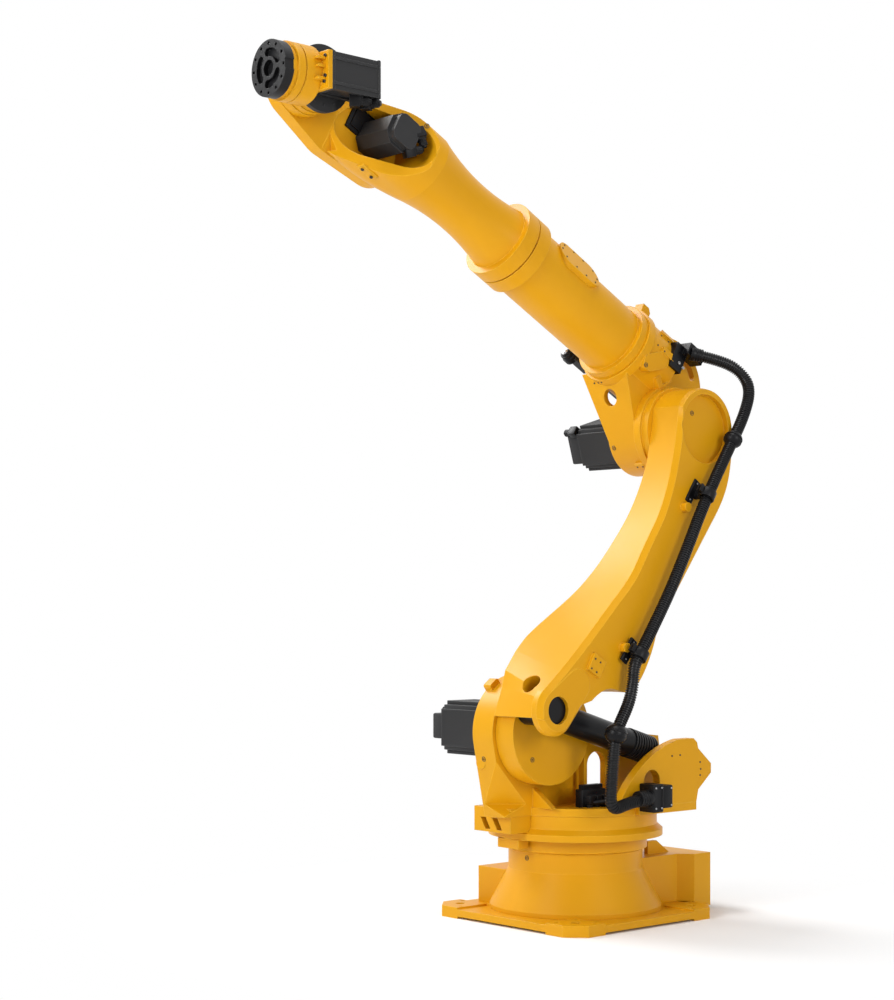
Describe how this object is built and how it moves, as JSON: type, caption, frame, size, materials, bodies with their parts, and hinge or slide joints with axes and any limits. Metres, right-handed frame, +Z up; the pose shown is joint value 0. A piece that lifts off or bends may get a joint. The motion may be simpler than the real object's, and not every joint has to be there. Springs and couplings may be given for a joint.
{
  "type": "industrial robot arm",
  "caption": "Long-reach articulated industrial robot arm with a floor base, balanced lower arm, tubular forearm, hollow wrist housing and bolted tool flange.",
  "frame": {"origin": "on the axis of the first joint at the floor, the centre of the base bolts", "axes": "+Z up along the first joint's axis, +X forward, the way the arm reaches, +Y to the arm's left"},
  "size_m": [1.9371, 0.773, 2.8386],
  "materials": {
    "paint_yellow": "satin",
    "motor_grey": "satin",
    "black_metal": "satin",
    "hose_black": "satin"
  },
  "bodies": {
    "base": {"base_plate": "paint_yellow", "base_cone": "paint_yellow", "base_side_box": "paint_yellow", "base_rear_box": "paint_yellow", "base_panel": "paint_yellow"},
    "turret": {"turret_ring": "paint_yellow", "turret_frame": "paint_yellow", "turn_stop": "paint_yellow", "j2_motor": "motor_grey", "fork_near": "paint_yellow", "fork_far": "paint_yellow", "fork_pin": "black_metal", "hose_block": "black_metal", "hose_turret": "hose_black"},
    "lower_arm": {"lower_arm": "paint_yellow", "arm_pin": "black_metal", "hose_arm": "hose_black", "hose_clamp_low": "black_metal", "hose_clamp_mid": "black_metal", "hose_clamp_top": "black_metal", "hose_elbow": "hose_black"},
    "balancer_front": {"balancer_tube": "black_metal", "balancer_bellows": "hose_black"},
    "balancer_rear": {"balancer_rod": "black_metal"},
    "elbow": {"elbow_casting": "paint_yellow", "j3_ring": "paint_yellow", "j3_motor": "motor_grey", "j4_motor": "motor_grey", "hose_bracket": "black_metal"},
    "forearm": {"forearm_tube": "paint_yellow", "access_cover": "paint_yellow", "forearm_casting": "paint_yellow", "j5_motor": "motor_grey", "j5_ring": "paint_yellow"},
    "wrist": {"wrist_body": "paint_yellow", "wrist_disc": "motor_grey", "j6_motor": "motor_grey"},
    "flange": {"tool_flange": "motor_grey"}
  },
  "joints": [
    {"name": "j1_turn", "type": "hinge", "parent": "base", "child": "turret", "pos_m": [0, 0, 0.29], "axis": [0, 0, 1], "range_deg": [-180, 180]},
    {"name": "j2_shoulder", "type": "hinge", "parent": "turret", "child": "lower_arm", "pos_m": [0.265, 0, 0.66], "axis": [0, 1, 0], "range_deg": [-15, 95], "deforming": ["hose_turret"]},
    {"name": "j3_elbow", "type": "hinge", "parent": "lower_arm", "child": "elbow", "pos_m": [-0.36335, 0, 1.70574], "axis": [0, -1, 0], "range_deg": [-75, 62], "deforming": ["hose_elbow"]},
    {"name": "j4_roll", "type": "hinge", "parent": "elbow", "child": "forearm", "pos_m": [-0.45786, 0, 1.882], "axis": [0.8813, 0, 0.4726], "range_deg": [-210, 210]},
    {"name": "j5_wrist", "type": "hinge", "parent": "forearm", "child": "wrist", "pos_m": [1.12849, 0, 2.7326], "axis": [0, -1, 0], "range_deg": [-96.8, 153.2]},
    {"name": "j6_flange", "type": "hinge", "parent": "wrist", "child": "flange", "pos_m": [1.12849, 0, 2.7326], "axis": [1, 0, 0], "range_deg": [-360, 360]},
    {"name": "balancer_swing", "type": "hinge", "parent": "turret", "child": "balancer_rear", "pos_m": [-0.27881, 0.208, 0.54335], "axis": [0, 1, 0], "range_deg": [-10, 25]},
    {"name": "balancer_eye", "type": "hinge", "parent": "lower_arm", "child": "balancer_front", "pos_m": [0.38139, 0.208, 0.74394], "axis": [0, 1, 0], "range_deg": [-85, 20]}
  ],
  "couplings": [
    {"joint": "balancer_swing", "follows": "j2_shoulder", "ratio": 0.19},
    {"joint": "balancer_eye", "follows": "j2_shoulder", "ratio": -0.81}
  ]
}
